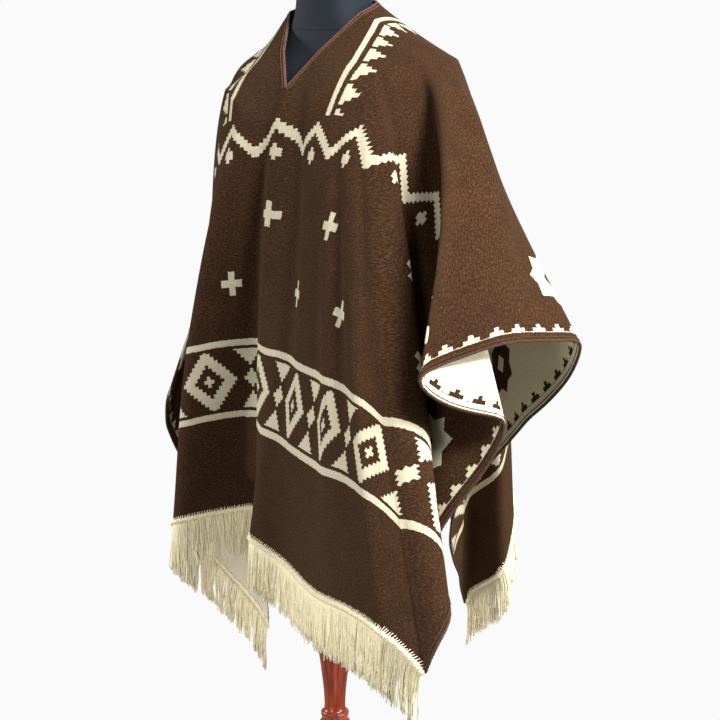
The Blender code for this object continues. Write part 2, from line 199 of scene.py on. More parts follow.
# %% The drape table
Drape = namedtuple(
    "Drape", "name end_u end_v yoke_x yoke_y yoke_z mid_x mid_y end_x end_y stretch")
DRAPE_LINES = [
    Drape("front_centre", 0.00, -0.84, 0.000, -0.130, 1.265, -0.012, -0.160, -0.010, -0.178, 1.01),
    Drape("near_ridge", 0.08, -0.84, 0.042, -0.130, 1.270, 0.056, -0.186, 0.043, -0.242, 1.02),
    Drape("near_panel", 0.26, -0.84, 0.060, -0.130, 1.290, 0.125, -0.222, 0.142, -0.278, 1.01),
    Drape("far_panel", 0.50, -0.84, 0.100, -0.125, 1.310, 0.222, -0.272, 0.375, -0.445, 1.00),
    Drape("front_corner", 0.73, -0.84, 0.130, -0.112, 1.325, 0.314, -0.300, 0.551, -0.512, 1.00),
    Drape("panel_side", 0.73, -0.755, 0.144, -0.104, 1.330, 0.338, -0.256, 0.552, -0.463, 1.00),
    Drape("side_valley", 0.73, -0.6, 0.162, -0.088, 1.338, 0.306, -0.200, 0.455, -0.371, 1.00),
    Drape("sleeve_valley", 0.73, -0.39, 0.182, -0.055, 1.350, 0.340, -0.146, 0.514, -0.291, 1.00),
    Drape("sleeve_ridge", 0.73, -0.235, 0.191, -0.030, 1.355, 0.346, -0.196, 0.413, -0.338, 1.02),
    Drape("sleeve_front", 0.73, -0.11, 0.196, -0.003, 1.357, 0.366, -0.106, 0.479, -0.239, 1.00),
    Drape("left_tip", 0.73, 0.02, 0.198, 0.020, 1.357, 0.345, -0.035, 0.514, -0.111, 1.00),
    Drape("left_back_edge", 0.73, 0.28, 0.190, 0.055, 1.350, 0.270, 0.045, 0.326, 0.007, 1.00),
    Drape("left_back_valley", 0.73, 0.54, 0.170, 0.085, 1.340, 0.180, 0.122, 0.150, 0.115, 1.01),
    Drape("back_left_corner", 0.73, 0.84, 0.140, 0.110, 1.325, 0.114, 0.194, 0.039, 0.308, 1.03),
    Drape("back_left_ridge", 0.57, 0.84, 0.120, 0.122, 1.315, 0.166, 0.198, 0.135, 0.284, 1.02),
    Drape("back_outer_1", 0.40, 0.84, 0.085, 0.128, 1.305, 0.105, 0.262, 0.075, 0.375, 1.00),
    Drape("back_valley_2", 0.20, 0.84, 0.045, 0.132, 1.300, 0.020, 0.195, -0.010, 0.270, 1.00),
    Drape("back_ridge_2", 0.02, 0.84, 0.005, 0.134, 1.298, -0.045, 0.250, -0.090, 0.360, 1.00),
    Drape("back_valley_3", -0.18, 0.84, -0.045, 0.132, 1.300, -0.110, 0.200, -0.175, 0.275, 1.00),
    Drape("back_ridge_3", -0.38, 0.84, -0.085, 0.128, 1.305, -0.185, 0.255, -0.275, 0.370, 1.00),
    Drape("back_right_corner", -0.73, 0.84, -0.140, 0.110, 1.325, -0.300, 0.270, -0.450, 0.400, 1.00),
    Drape("right_back_valley", -0.73, 0.54, -0.158, 0.085, 1.315, -0.225, 0.160, -0.330, 0.230, 1.00),
    Drape("right_back_ridge", -0.73, 0.28, -0.175, 0.055, 1.312, -0.275, 0.125, -0.430, 0.190, 1.00),
    Drape("right_valley", -0.73, 0.03, -0.182, 0.018, 1.312, -0.245, 0.058, -0.345, 0.085, 1.00),
    Drape("right_tip", -0.73, -0.22, -0.180, -0.022, 1.308, -0.238, -0.010, -0.278, -0.084, 1.00),
    Drape("right_low_edge", -0.73, -0.44, -0.168, -0.055, 1.300, -0.228, -0.035, -0.290, -0.045, 1.00),
    Drape("right_side_edge", -0.73, -0.62, -0.150, -0.075, 1.298, -0.214, -0.030, -0.296, 0.080, 1.00),
    Drape("far_front_corner", -0.73, -0.84, -0.132, -0.092, 1.298, -0.180, -0.044, -0.213, 0.083, 1.05),
    Drape("far_front_inner", -0.53, -0.84, -0.108, -0.108, 1.288, -0.196, -0.080, -0.251, -0.002, 1.03),
    Drape("far_front_turn", -0.40, -0.84, -0.088, -0.118, 1.280, -0.178, -0.122, -0.250, -0.086, 1.02),
    Drape("far_front_ridge", -0.27, -0.84, -0.065, -0.128, 1.265, -0.142, -0.152, -0.196, -0.141, 1.01),
    Drape("front_valley", -0.12, -0.84, -0.025, -0.130, 1.260, -0.072, -0.126, -0.085, -0.095, 1.00),
]
print(len(DRAPE_LINES), "drape lines")

# %% The neck edge's heights and the form's sections
NeckRow = namedtuple("NeckRow", "flat_v y z")
NECK_ROWS = [
    NeckRow(-0.190, -0.112, 1.310),
    NeckRow(-0.115, -0.076, 1.362),
    NeckRow(-0.040, -0.020, 1.418),
    NeckRow(0.010, 0.034, 1.432),
    NeckRow(0.050, 0.068, 1.436),
]
FormSection = namedtuple("FormSection", "z half_width half_depth centre_y")
FORM_SECTIONS = [
    FormSection(0.700, 0.158, 0.108, 0.000),
    FormSection(0.712, 0.166, 0.114, 0.000),
    FormSection(0.800, 0.172, 0.118, 0.000),
    FormSection(0.890, 0.158, 0.111, 0.000),
    FormSection(0.980, 0.138, 0.102, 0.000),
    FormSection(1.100, 0.152, 0.110, -0.004),
    FormSection(1.200, 0.170, 0.119, -0.008),
    FormSection(1.268, 0.174, 0.113, -0.004),
    FormSection(1.302, 0.177, 0.101, 0.002),
    FormSection(1.330, 0.168, 0.087, 0.008),
    FormSection(1.350, 0.144, 0.075, 0.012),
    FormSection(1.370, 0.109, 0.066, 0.012),
    FormSection(1.391, 0.077, 0.060, 0.009),
    FormSection(1.415, 0.060, 0.056, 0.005),
    FormSection(1.450, 0.053, 0.053, 0.001),
    FormSection(1.510, 0.051, 0.051, -0.004),
    FormSection(1.522, 0.045, 0.045, -0.005),
]
print(len(NECK_ROWS), "neck rows and", len(FORM_SECTIONS), "form sections")

# %% [markdown]
# ## The form
# The real form is a padded shell under tight dark jersey. Its sections come
# from the solid's own table, with more sides and rows between them, so the
# neck looks turned smooth. It is made first because the cloth rests on it.

# %% Helpers for smooth stacks of rings
def smooth_between(a, b, slope_a, slope_b, t):
    """A smooth curve's value at t from 0 to 1, between two values with their slopes."""
    return (
        (2 * t**3 - 3 * t**2 + 1) * a + (t**3 - 2 * t**2 + t) * slope_a
        + (3 * t**2 - 2 * t**3) * b + (t**3 - t**2) * slope_b)


def smooth_rows(rows, between):
    """Rows of numbers with smooth in-between rows, keeping the given ones."""
    rows = np.array(rows, dtype=float)
    slopes = np.gradient(rows, axis=0)
    result = []
    for i in range(len(rows) - 1):
        for k in range(between):
            result.append(smooth_between(
                rows[i], rows[i + 1], slopes[i], slopes[i + 1], k / between))
    result.append(rows[-1])
    return np.array(result)


def ring_stack(rings):
    """Vertices and faces of a closed stack of equal rings with capped ends."""
    count = len(rings[0])
    faces = []
    for level in range(len(rings) - 1):
        low, high = level * count, (level + 1) * count
        for i in range(count):
            j = (i + 1) % count
            faces.append((low + i, low + j, high + j, high + i))
    faces.append(tuple(reversed(range(count))))
    top = (len(rings) - 1) * count
    faces.append(tuple(top + i for i in range(count)))
    return np.concatenate(rings), faces


# %% Form rings
FORM_SIDES = 120
SQUARENESS = 0.85
FORM_ROWS_BETWEEN = 5
FORM_SHARP = math.radians(50)


def form_ring(row):
    """One rounded outline with slightly square sides."""
    z, half_width, half_depth, centre_y = row
    angle = np.linspace(0, 2 * math.pi, FORM_SIDES, endpoint=False)
    c, s = np.cos(angle), np.sin(angle)
    x = half_width * np.sign(c) * np.abs(c) ** SQUARENESS
    y = centre_y + half_depth * np.sign(s) * np.abs(s) ** SQUARENESS
    return np.column_stack([x, y, np.full(FORM_SIDES, z)])


form_rows = smooth_rows(FORM_SECTIONS, FORM_ROWS_BETWEEN)
form_vertices, form_faces = ring_stack([form_ring(row) for row in form_rows])
form_cover = flat_object("form_cover", form_vertices, form_faces)
form_cover.data.shade_smooth()
form_cover.data.set_sharp_from_angle(angle=FORM_SHARP)
form_tree = BVHTree.FromPolygons(form_vertices.tolist(), form_faces)
print("form rows", len(form_rows))

# %% [markdown]
# ## From the flat cloth to the folds
# Each column of the fine mesh starts at the cut neck edge, lies over the
# shoulder just clear of the form, and hangs from there through a middle point
# to the hem. Both hanging halves take half of the cloth that is left, and that
# fixes how low the middle point and the hem come.

# %% A smooth closed curve
def closed_curve(stations, values, period, wanted):
    """A smooth closed curve through rows of values, read at the wanted places."""
    stations = np.array(stations)
    nxt = np.roll(np.arange(len(stations)), -1)
    prv = np.roll(np.arange(len(stations)), 1)
    spans = (stations[nxt] - stations) % period
    slopes = (values[nxt] - values[prv]) / (spans + spans[prv])[:, None]
    wanted = np.asarray(wanted)
    i = np.searchsorted(stations, wanted + 1e-9, side="right") - 1
    j = nxt[i]
    t = ((wanted - stations[i]) / spans[i])[:, None]
    span = spans[i][:, None]
    return smooth_between(values[i], values[j], span * slopes[i], span * slopes[j], t)


# %% Places round the cloth's edge
def perimeter_place(u, v):
    """Distance round the flat cloth's edge, from the middle of the front hem."""
    if v <= -HALF_LENGTH and u >= 0:
        return u
    if u >= HALF_WIDTH:
        return HALF_WIDTH + HALF_LENGTH + v
    if v >= HALF_LENGTH:
        return 2 * HALF_WIDTH + 2 * HALF_LENGTH - u
    if u <= -HALF_WIDTH:
        return 3 * HALF_WIDTH + 3 * HALF_LENGTH - v
    return PERIMETER + u


def perimeter_point(place):
    """The flat cloth's edge point at a distance round its edge."""
    if place <= CORNER_1:
        return place, -HALF_LENGTH
    if place <= CORNER_2:
        return HALF_WIDTH, place - CORNER_1 - HALF_LENGTH
    if place <= CORNER_3:
        return HALF_WIDTH - (place - CORNER_2), HALF_LENGTH
    if place <= CORNER_4:
        return -HALF_WIDTH, HALF_LENGTH - (place - CORNER_3)
    return place - PERIMETER, -HALF_LENGTH


def column_places():
    """Places of the drape lines, and of every mesh column, on the cloth's edge."""
    lines = [perimeter_place(line.end_u, line.end_v) for line in DRAPE_LINES]
    places = []
    for i, start in enumerate(lines):
        end = lines[i + 1] if i + 1 < len(lines) else PERIMETER
        steps = max(1, round((end - start) / COLUMN_SPACING))
        places += [start + (end - start) * k / steps for k in range(steps)]
    return lines, places


line_places, places = column_places()
print(len(line_places), "lines and", len(places), "columns round the edge")


# %% The neck edge, and keeping clear of the form
def neck_edge(u, v):
    """Flat point of the cut neck edge on the way from the neck's centre to (u, v)."""
    du, dv = u, v - NECK_CENTRE_V
    reach = math.hypot(du, dv)
    du, dv = du / reach, dv / reach
    if dv < 0:
        radius = 1.0 / (abs(du) / NECK_SIDE_U + abs(dv) / (NECK_CENTRE_V - NECK_FRONT_V))
    else:
        radius = 1.0 / math.hypot(du / NECK_SIDE_U, dv / (NECK_BACK_V - NECK_CENTRE_V))
    return radius * du, NECK_CENTRE_V + radius * dv


def neck_on_form(u, v):
    """Where a flat point of the neck edge lies on the form."""
    flat = [row.flat_v for row in NECK_ROWS]
    y = np.interp(v, flat, [row.y for row in NECK_ROWS])
    z = np.interp(v, flat, [row.z for row in NECK_ROWS])
    return np.array([u * NECK_SPREAD, y, z])


def clear_of_form(point, need):
    """The point, moved straight out of the form until it is clear of it."""
    near, normal, _, _ = form_tree.find_nearest(Vector(point))
    depth = (Vector(point) - near).dot(normal)
    if depth >= need:
        return point
    return np.array(near + normal * need)


print("V point", neck_on_form(0, NECK_FRONT_V))


# %% The hang of one column
def hang_point(yoke, mid, end, start_slope, x):
    """Smooth curve through yoke, mid and end, at x from 0 to 1."""
    if x <= 0.5:
        return smooth_between(yoke, mid, start_slope, (end - yoke) / 2, 2 * x)
    return smooth_between(mid, end, (end - yoke) / 2, end - mid, 2 * x - 1)


def draped_column(place, yoke, mid_xy, end_xy, stretch):
    """Points of one column of the cloth's middle layer, and their flat places."""
    need = FORM_GAP + CLOTH_THICKNESS / 2
    edge_u, edge_v = perimeter_point(place)
    neck_u, neck_v = neck_edge(edge_u, edge_v)
    neck = clear_of_form(neck_on_form(neck_u, neck_v), need)
    points = [neck]
    for k in range(1, YOKE_RINGS + 1):
        points.append(clear_of_form(neck + (yoke - neck) * k / YOKE_RINGS, need))
    used = sum(np.linalg.norm(b - a) for a, b in zip(points, points[1:]))
    half_left = (stretch * math.hypot(edge_u - neck_u, edge_v - neck_v) - used) / 2
    top = points[-1]
    mid = np.array([*mid_xy, top[2] - math.sqrt(half_left**2 - math.hypot(*(mid_xy - top[:2]))**2)])
    end = np.array([*end_xy, mid[2] - math.sqrt(half_left**2 - math.hypot(*(end_xy - mid_xy))**2)])
    last = points[-1] - points[-2]
    outward = last / np.linalg.norm(last) * half_left
    start_slope = outward * SHOULDER_REACH + (mid - top) * (1 - SHOULDER_REACH)
    for k in range(1, HANG_RINGS + 1):
        points.append(clear_of_form(hang_point(top, mid, end, start_slope, k / HANG_RINGS), need))
    points = np.array(points)
    run = np.concatenate([[0], np.cumsum(np.linalg.norm(np.diff(points, axis=0), axis=1))])
    share = (run / run[-1])[:, None]
    flat = (1 - share) * np.array([neck_u, neck_v]) + share * np.array([edge_u, edge_v])
    return points, flat


# %% Lay the fine cloth
guide_rows = np.array([line[3:] for line in DRAPE_LINES])
guides = closed_curve(line_places, guide_rows, PERIMETER, places)
columns = [draped_column(place, g[0:3], g[3:5], g[5:7], g[7]) for place, g in zip(places, guides)]
grid = np.array([points for points, _ in columns])
flat = np.array([flat_points for _, flat_points in columns])
places = np.array(places)
print("fine cloth", grid.shape[0], "columns,", grid.shape[1], "rings")


# %% [markdown]
# ## Creases
# Heavy brushed wool bends in a few broad soft waves and almost never in
# sharp lines. Each crease is a row: where it meets the cloth's edge, how far
# out it starts and ends on the way from the neck to the edge, its width and
# its depth. Positive depth is a ridge, and CREASE_DEPTH deepens them all
# together. Their spacing is uneven on purpose, and the hidden sides get
# similar ones.

# %% Crease table
Crease = namedtuple("Crease", "edge_place start end width depth")
CREASE_DEPTH = 1.25
CREASES = [
    Crease(0.07, 0.10, 1.30, 0.040, 0.0050),
    Crease(6.20, 0.05, 1.35, 0.050, -0.0110),
    Crease(5.99, 0.10, 1.30, 0.045, 0.0070),
    Crease(0.94, 0.15, 1.30, 0.045, -0.0080),
    Crease(0.13, 0.30, 1.00, 0.040, -0.0016),
    Crease(0.23, 0.35, 0.98, 0.040, 0.0020),
    Crease(0.35, 0.35, 1.00, 0.042, -0.0036),
    Crease(0.44, 0.45, 1.00, 0.036, 0.0040),
    Crease(0.52, 0.25, 0.90, 0.040, -0.0055),
    Crease(0.62, 0.50, 1.20, 0.034, 0.0060),
    Crease(0.70, 0.20, 0.80, 0.030, -0.0040),
    Crease(0.86, 0.25, 0.85, 0.026, 0.0040),
    Crease(1.03, 0.45, 1.10, 0.036, 0.0060),
    Crease(1.10, 0.30, 1.00, 0.028, -0.0045),
    Crease(1.38, 0.35, 1.10, 0.034, -0.0055),
    Crease(1.46, 0.20, 0.80, 0.030, 0.0050),
    Crease(1.53, 0.50, 1.20, 0.030, -0.0045),
    Crease(1.68, 0.30, 1.10, 0.036, 0.0055),
    Crease(1.78, 0.45, 1.20, 0.030, -0.0050),
    Crease(1.96, 0.30, 1.00, 0.034, 0.0050),
    Crease(2.22, 0.25, 1.10, 0.036, -0.0055),
    Crease(2.33, 0.50, 1.20, 0.028, 0.0045),
    Crease(2.66, 0.35, 1.10, 0.032, 0.0045),
    Crease(2.84, 0.20, 1.00, 0.034, -0.0050),
    Crease(3.04, 0.45, 1.20, 0.030, 0.0050),
    Crease(3.22, 0.30, 0.95, 0.034, -0.0045),
    Crease(3.43, 0.25, 1.10, 0.032, 0.0050),
    Crease(3.60, 0.50, 1.20, 0.036, -0.0055),
    Crease(3.74, 0.30, 1.00, 0.034, 0.0055),
    Crease(4.00, 0.40, 1.20, 0.036, -0.0050),
    Crease(4.10, 0.20, 0.90, 0.030, 0.0045),
    Crease(4.30, 0.35, 1.10, 0.034, 0.0050),
    Crease(4.55, 0.45, 1.20, 0.032, -0.0050),
    Crease(4.80, 0.25, 1.00, 0.034, 0.0045),
    Crease(5.04, 0.40, 1.10, 0.030, -0.0045),
    Crease(5.24, 0.30, 1.20, 0.030, 0.0050),
    Crease(5.45, 0.45, 1.10, 0.034, -0.0050),
    Crease(5.66, 0.25, 1.00, 0.034, 0.0045),
    Crease(5.88, 0.50, 1.20, 0.030, -0.0040),
    Crease(6.14, 0.25, 0.90, 0.026, 0.0035),
]
print(len(CREASES), "creases")


# %% Press the creases into the cloth
def grid_normals(points):
    """Outward normals of the draped middle layer, halfway between both sides of a crease."""
    down_way = np.gradient(points, axis=1)
    behind = np.cross(points - np.roll(points, 1, axis=0), -down_way)
    ahead = np.cross(np.roll(points, -1, axis=0) - points, -down_way)
    behind /= np.linalg.norm(behind, axis=2, keepdims=True)
    ahead /= np.linalg.norm(ahead, axis=2, keepdims=True)
    normals = behind + ahead
    return normals / np.linalg.norm(normals, axis=2, keepdims=True)


def crease_heights():
    """Height of all the creases at every grid point."""
    ring_share = np.linspace(0, 1, grid.shape[1])[None, :]
    total = np.zeros(grid.shape[:2])
    for crease in CREASES:
        away = (places - crease.edge_place + PERIMETER / 2) % PERIMETER - PERIMETER / 2
        across = np.exp(-(away / crease.width) ** 2)[:, None]
        middle = (crease.start + crease.end) / 2
        reach = (crease.end - crease.start) / 2
        along = np.clip(1 - ((ring_share - middle) / reach) ** 2, 0, 1) ** 1.5
        total += CREASE_DEPTH * crease.depth * across * along
    return total


normals = grid_normals(grid)
grid = grid + normals * crease_heights()[:, :, None]
need_inside = FORM_GAP + CLOTH_THICKNESS / 2
for c in range(grid.shape[0]):
    for r in range(grid.shape[1]):
        grid[c, r] = clear_of_form(grid[c, r], need_inside)
normals = grid_normals(grid)
print("creased grid", grid.shape)

# %% [markdown]
# ## The cloth's wall
# A double-faced cloth shows its thickness at every edge, so the fine mesh is
# a closed thin wall: an outer layer, an inner layer and a rim between them.
# Two attributes go with it: the flat place of each point, which the woven
# design reads, and which face it belongs to.

# %% Build the wall
def cloth_wall(points, away):
    """Closed wall of even thickness on both sides of the middle layer."""
    count_c, count_r, _ = points.shape
    half = CLOTH_THICKNESS / 2
    outer = (points + away * half).reshape(-1, 3)
    inner = (points - away * half).reshape(-1, 3)
    count = count_c * count_r
    faces = []
    for c in range(count_c):
        d = (c + 1) % count_c
        for r in range(count_r - 1):
            corners = (c * count_r + r, c * count_r + r + 1, d * count_r + r + 1, d * count_r + r)
            faces.append(corners)
            faces.append(tuple(count + k for k in reversed(corners)))
        near, far = c * count_r, d * count_r
        faces.append((near, far, count + far, count + near))
        near, far = near + count_r - 1, far + count_r - 1
        faces.append((near, count + near, count + far, far))
    return np.vstack([outer, inner]), faces


wall_vertices, wall_faces = cloth_wall(grid, normals)
poncho_cloth = flat_object("poncho_cloth", wall_vertices, wall_faces)
cloth_mesh = poncho_cloth.data
cloth_mesh.shade_smooth()
flat_points = flat.reshape(-1, 2)
sides = np.zeros(len(wall_vertices))
sides[len(flat_points):] = 1.0
flat_place = cloth_mesh.attributes.new("flat_place", "FLOAT_VECTOR", "POINT")
flat_place.data.foreach_set(
    "vector", np.column_stack([np.vstack([flat_points, flat_points]), sides]).ravel())
print("cloth faces", len(wall_faces))


# %% [markdown]
# ## Node helpers
# The woven design is worked out from the flat place of each point, with Math
# nodes. Short helpers keep those node trees readable: they make a Math node,
# start a node group with named sockets, make a noise node, and place a group
# in a material.

# %% Helpers for shader nodes
def calc(tree, operation, *values):
    """One Math node fed with sockets or numbers. Gives its output socket."""
    made = tree.nodes.new("ShaderNodeMath")
    made.operation = operation
    for socket, value in zip(made.inputs, values):
        if isinstance(value, (int, float)):
            socket.default_value = value
        else:
            tree.links.new(value, socket)
    return made.outputs[0]


def start_group(name, inputs, outputs):
    """A node group with named sockets. Gives the tree, its input and its output node."""
    tree = bpy.data.node_groups.new(name, "ShaderNodeTree")
    for socket_name, kind, value in inputs:
        socket = tree.interface.new_socket(socket_name, in_out="INPUT", socket_type=kind)
        if value is not None:
            socket.default_value = value
    for socket_name, kind in outputs:
        tree.interface.new_socket(socket_name, in_out="OUTPUT", socket_type=kind)
    return tree, tree.nodes.new("NodeGroupInput"), tree.nodes.new("NodeGroupOutput")


def noise_node(tree, vector, **settings):
    """A Noise Texture node that reads a vector socket."""
    made = tree.nodes.new("ShaderNodeTexNoise")
    set_inputs(made, **settings)
    tree.links.new(vector, made.inputs["Vector"])
    return made


def place_group(tree, group, **values):
    """A group node in a material, with its sockets set or linked."""
    made = tree.nodes.new("ShaderNodeGroup")
    made.node_tree = group
    for socket_name, value in values.items():
        socket = made.inputs[socket_name.replace("_", " ")]
        if isinstance(value, bpy.types.NodeSocket):
            tree.links.new(value, socket)
        else:
            socket.default_value = value
    return made


# %% [markdown]
# ## The woven design
# The cloth is brown outside with cream motifs, and the same motifs show in
# brown on the cream inside, as in any double cloth. The motifs are a plain
# traditional set: a hem band of stepped diamonds between two lines, a stepped
# zigzag across the chest and back, triangles over the shoulders, small
# crosses on the open ground, eight-pointed stars near the sides and a border
# of small triangles. All are symmetric about both middles of the flat cloth,
# so they are worked out from the sizes of u and v. Snapping to a 6 mm stitch
# gives the stepped edges, and a little noise frays them.

# %% Build the design's node group
STITCH = 0.006
design, design_in, design_out = start_group(
    "woven_design",
    [("Flat Place", "NodeSocketVector", None)],
    [("Motif", "NodeSocketFloat")])


def d(operation, *values):
    """Math inside the design's group."""
    return calc(design, operation, *values)


def snapped(value):
    """A length rounded to whole stitches."""
    return d("SNAP", d("ADD", value, STITCH / 2), STITCH)


def both(*masks):
    """Where all the masks are on."""
    result = masks[0]
    for mask in masks[1:]:
        result = d("MULTIPLY", result, mask)
    return result


def either(*masks):
    """Where any of the masks is on."""
    result = masks[0]
    for mask in masks[1:]:
        result = d("MAXIMUM", result, mask)
    return result


def below(value, limit):
    """Where a value is less than a limit."""
    return d("LESS_THAN", value, limit)


def above(value, limit):
    """Where a value is more than a limit."""
    return d("GREATER_THAN", value, limit)


def between(value, ends):
    """Where a value lies between two ends."""
    return both(above(value, ends[0]), below(value, ends[1]))


def off(value, middle):
    """How far a value is from a middle one."""
    return d("ABSOLUTE", d("SUBTRACT", value, middle))


print("design group started")

# %% The flat place, frayed a little
FRAY = 0.0035
fray = noise_node(design, design_in.outputs["Flat Place"], Scale=420, Detail=2)
fray_split = design.nodes.new("ShaderNodeSeparateColor")
design.links.new(fray.outputs["Color"], fray_split.inputs["Color"])
place_split = design.nodes.new("ShaderNodeSeparateXYZ")
design.links.new(design_in.outputs["Flat Place"], place_split.inputs["Vector"])
fray_u = d("MULTIPLY", d("SUBTRACT", fray_split.outputs[0], 0.5), FRAY)
fray_v = d("MULTIPLY", d("SUBTRACT", fray_split.outputs[1], 0.5), FRAY)
u = d("ADD", d("ABSOLUTE", place_split.outputs[0]), fray_u)
v = d("ADD", d("ABSOLUTE", place_split.outputs[1]), fray_v)
print("frayed by", FRAY)

# %% Hem band: hollow stepped diamonds, small diamonds and triangles between lines
HEM_BAND_V = 0.630
HEM_REPEAT = 0.080
BAND_FILL = 0.047
BAND_LINE = (0.052, 0.062)
HOLLOW_DIAMOND = (0.026, 0.050)
DIAMOND_HEART = 0.010
SMALL_DIAMOND = 0.016
TRIANGLE_FOOT = 0.048
TRIANGLE_REACH = 0.028
band_x = d("PINGPONG", u, HEM_REPEAT)
band_y = off(v, HEM_BAND_V)
step_x, step_y = snapped(band_x), snapped(band_y)
step_far = snapped(d("SUBTRACT", HEM_REPEAT, band_x))
ring = d("ADD", step_x, step_y)
hollow_diamond = either(between(ring, HOLLOW_DIAMOND), below(ring, DIAMOND_HEART))
small_diamond = below(d("ADD", step_far, step_y), SMALL_DIAMOND)
triangle = below(d("ADD", step_far, d("SUBTRACT", TRIANGLE_FOOT, step_y)), TRIANGLE_REACH)
band_fill = both(below(band_y, BAND_FILL), either(hollow_diamond, small_diamond, triangle))
band_lines = between(band_y, BAND_LINE)
hem_band = either(band_fill, band_lines)
print("hem band at", HEM_BAND_V)

# %% Chest and back: a stepped zigzag with small diamonds in its bays
CHEST_V = 0.262
CHEST_REPEAT = 0.045
CHEST_END_U = 0.405
ZIGZAG_SLOPE = 0.85
ZIGZAG_LOWER = 0.018
ZIGZAG_HALF = 0.008
BAY_LOWER = 0.022
BAY_DIAMOND = 0.012
BAY_END_U = 0.38
wave_x = snapped(d("PINGPONG", u, CHEST_REPEAT))
wave = d("SUBTRACT", d("MULTIPLY", wave_x, ZIGZAG_SLOPE), ZIGZAG_LOWER)
off_wave = off(d("SUBTRACT", v, CHEST_V), wave)
zigzag = both(below(off_wave, ZIGZAG_HALF), below(u, CHEST_END_U))
bay = d("ADD", wave_x, off(v, CHEST_V + BAY_LOWER))
bay_diamond = both(below(bay, BAY_DIAMOND), below(u, BAY_END_U))
print("zigzag at", CHEST_V)

# %% Shoulders: stepped triangles beside one line
SHOULDER_U = 0.118
SHOULDER_END_V = 0.228
SHOULDER_LINE = (-0.018, -0.009)
TOOTH_REPEAT = 0.018
TOOTH_SLOPE = 1.6
tooth = d("SUBTRACT", u, SHOULDER_U)
tooth_depth = d("MULTIPLY", snapped(d("PINGPONG", v, TOOTH_REPEAT)), TOOTH_SLOPE)
teeth = both(above(tooth, 0.0), below(tooth, tooth_depth), below(v, SHOULDER_END_V))
shoulder_line = both(between(tooth, SHOULDER_LINE), below(v, SHOULDER_END_V))
print("teeth at", SHOULDER_U)

# %% Open ground: small crosses in two staggered rows
CROSS_REPEAT = 0.095
CROSS_ARM = 0.019
CROSS_HALF = 0.0058
CROSS_END_U = 0.53
CROSS_ROWS_V = (0.375, 0.480)
row_x = d("PINGPONG", u, CROSS_REPEAT)
other_x = d("SUBTRACT", CROSS_REPEAT, row_x)


def cross(x, y):
    """A plus sign of even arms."""
    return both(below(d("MAXIMUM", x, y), CROSS_ARM), below(d("MINIMUM", x, y), CROSS_HALF))


cross_rows = either(
    cross(row_x, off(v, CROSS_ROWS_V[0])), cross(other_x, off(v, CROSS_ROWS_V[1])))
crosses = both(below(u, CROSS_END_U), cross_rows)
print("crosses at", CROSS_ROWS_V)

# %% Near the sides: eight-pointed stars
STAR_U = 0.620
STAR_REPEAT = 0.125
STAR_POINT = 0.047
STAR_SQUARE = 0.034
STAR_HEART = 0.015
SIDE_END_V = 0.56
star_x = off(u, STAR_U)
star_y = d("PINGPONG", v, STAR_REPEAT)
star_sum = d("ADD", star_x, star_y)
star_square = below(d("MAXIMUM", star_x, star_y), STAR_SQUARE)
star_body = either(below(star_sum, STAR_POINT), star_square)
stars = both(star_body, above(star_sum, STAR_HEART), below(v, SIDE_END_V))
print("stars at", STAR_U)

# %% Side border of small triangles, and all figures together
BORDER_WIDTH = 0.013
BORDER_REPEAT = 0.015
margin = d("SUBTRACT", HALF_WIDTH - BORDER_WIDTH, u)
border_depth = d("SUBTRACT", BORDER_WIDTH, snapped(d("PINGPONG", v, BORDER_REPEAT)))
border = both(above(margin, 0.0), below(margin, border_depth), below(v, SIDE_END_V))

motif = either(hem_band, zigzag, bay_diamond, teeth, shoulder_line, crosses, stars, border)
design.links.new(motif, design_out.inputs["Motif"])
print("design nodes", len(design.nodes))


# %% [markdown]
# ## Brushed wool
# Brushed wool is never one colour: dark, red and olive fibres lie over each
# other, drawn out along the weft, and the raised nap catches light at
# grazing angles. One node group mixes three fibre tones and gives a height
# for the bump; the nap's glow is the shader's sheen.

# %% Helpers for drawn-out noise and mixed colours
def stretched_noise(tree, vector, size, scale, stretch, detail):
    """Noise drawn out across the cloth, along its weft."""
    mapping = tree.nodes.new("ShaderNodeMapping")
    mapping.inputs["Scale"].default_value = (stretch, 1.0, 1.0)
    tree.links.new(vector, mapping.inputs["Vector"])
    noise = noise_node(tree, mapping.outputs["Vector"], Detail=detail, Roughness=0.65)
    tree.links.new(calc(tree, "MULTIPLY", size, scale), noise.inputs["Scale"])
    return noise.outputs["Fac"]


def mixed(tree, share, first, second, blend="MIX"):
    """A colour mix. share, first and second are sockets or plain values."""
    made = tree.nodes.new("ShaderNodeMix")
    made.data_type = "RGBA"
    made.blend_type = blend
    sockets = made.inputs[0], made.inputs[6], made.inputs[7]
    for socket, value in zip(sockets, (share, first, second)):
        if isinstance(value, bpy.types.NodeSocket):
            tree.links.new(value, socket)
        else:
            socket.default_value = value
    return made.outputs[2]


def ranged(tree, value, low, high, to_low, to_high):
    """A Map Range node that keeps within its ends."""
    made = tree.nodes.new("ShaderNodeMapRange")
    tree.links.new(value, made.inputs["Value"])
    set_inputs(made, From_Min=low, From_Max=high, To_Min=to_low, To_Max=to_high)
    return made.outputs["Result"]


